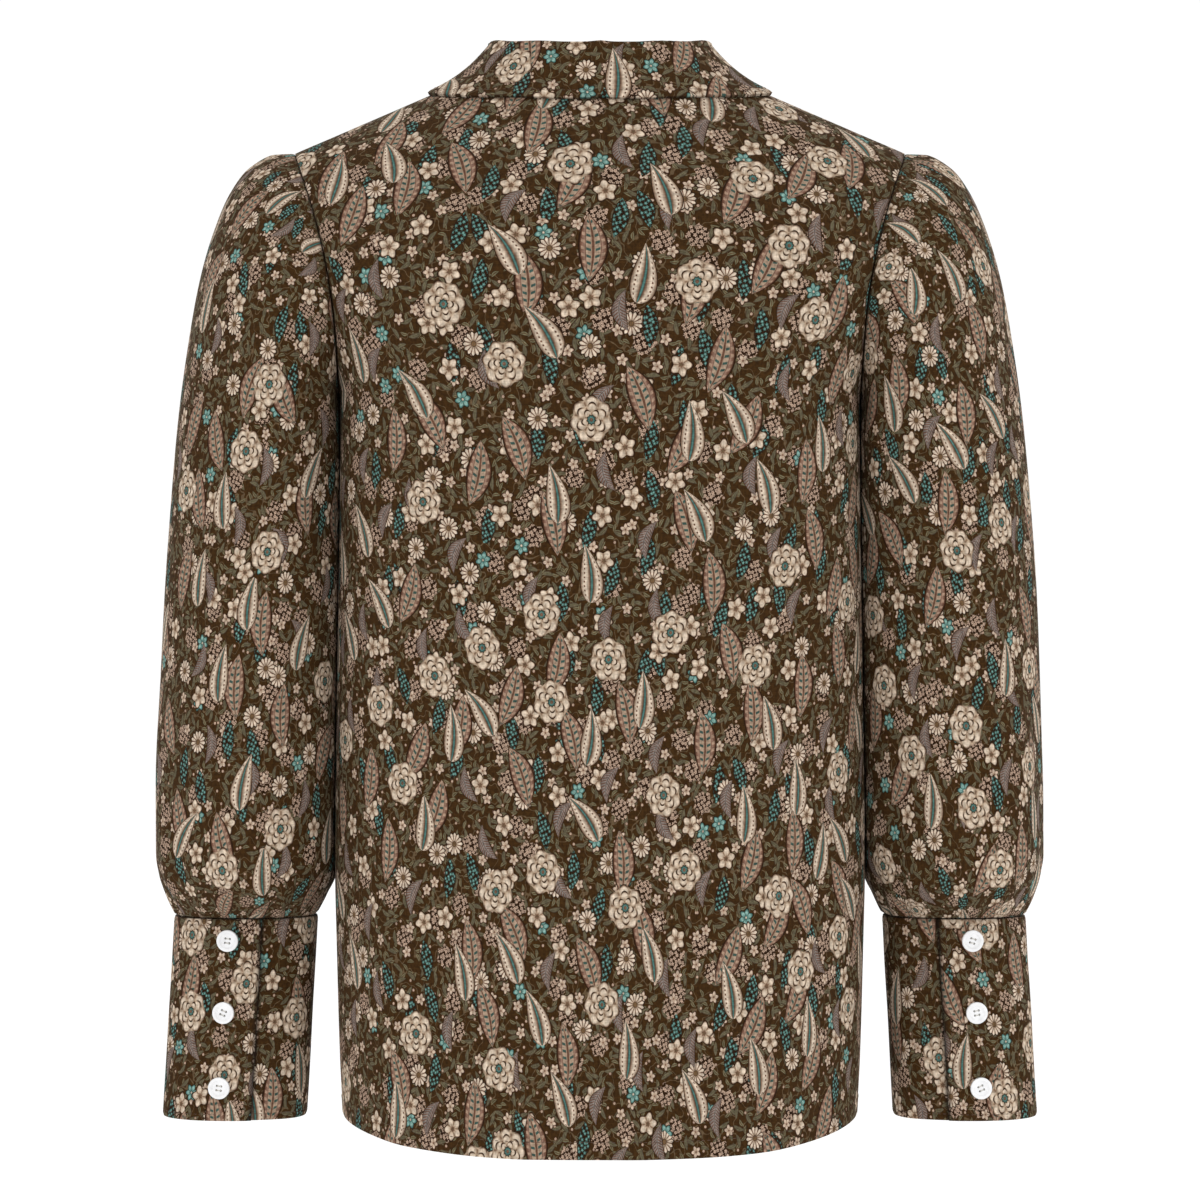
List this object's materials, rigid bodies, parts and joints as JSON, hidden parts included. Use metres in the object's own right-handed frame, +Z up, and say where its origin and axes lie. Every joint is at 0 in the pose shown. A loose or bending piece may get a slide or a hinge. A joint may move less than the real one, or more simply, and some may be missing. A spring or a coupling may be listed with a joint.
{
  "type": "lantern sleeve blouse",
  "caption": "Women's button-front blouse with a fold-down collar, full lantern sleeves gathered into deep buttoned cuffs and a straight hem, filled out as if worn, hollow and open.",
  "frame": {"origin": "middle of the neck opening, level with the shoulder seams' tops at the sides of the neck, where the wearer's neck and shoulders carry the blouse", "axes": "+Z up along the body, the front faces -Y and the back +Y, and +X is the wearer's left"},
  "size_m": [0.56, 0.2469, 0.6843],
  "materials": {
    "body_cloth": "matt printed cotton voile",
    "sleeve_cloth": "matt printed cotton voile",
    "trim_cloth": "matt printed cotton voile, interfaced",
    "white_resin": "satin white resin"
  },
  "bodies": {
    "root": {"back": "body_cloth", "front_left": "body_cloth", "front_right": "body_cloth", "collar": "trim_cloth", "sleeve_left": "sleeve_cloth", "sleeve_right": "sleeve_cloth", "cuff_left": "trim_cloth", "cuff_right": "trim_cloth", "cuff_button_left_1": "white_resin", "cuff_button_left_2": "white_resin", "cuff_button_left_3": "white_resin", "cuff_button_right_1": "white_resin", "cuff_button_right_2": "white_resin", "cuff_button_right_3": "white_resin", "front_button_1": "white_resin", "front_button_2": "white_resin", "front_button_3": "white_resin", "front_button_4": "white_resin", "front_button_5": "white_resin", "front_button_6": "white_resin", "front_button_7": "white_resin"}
  },
  "joints": []
}
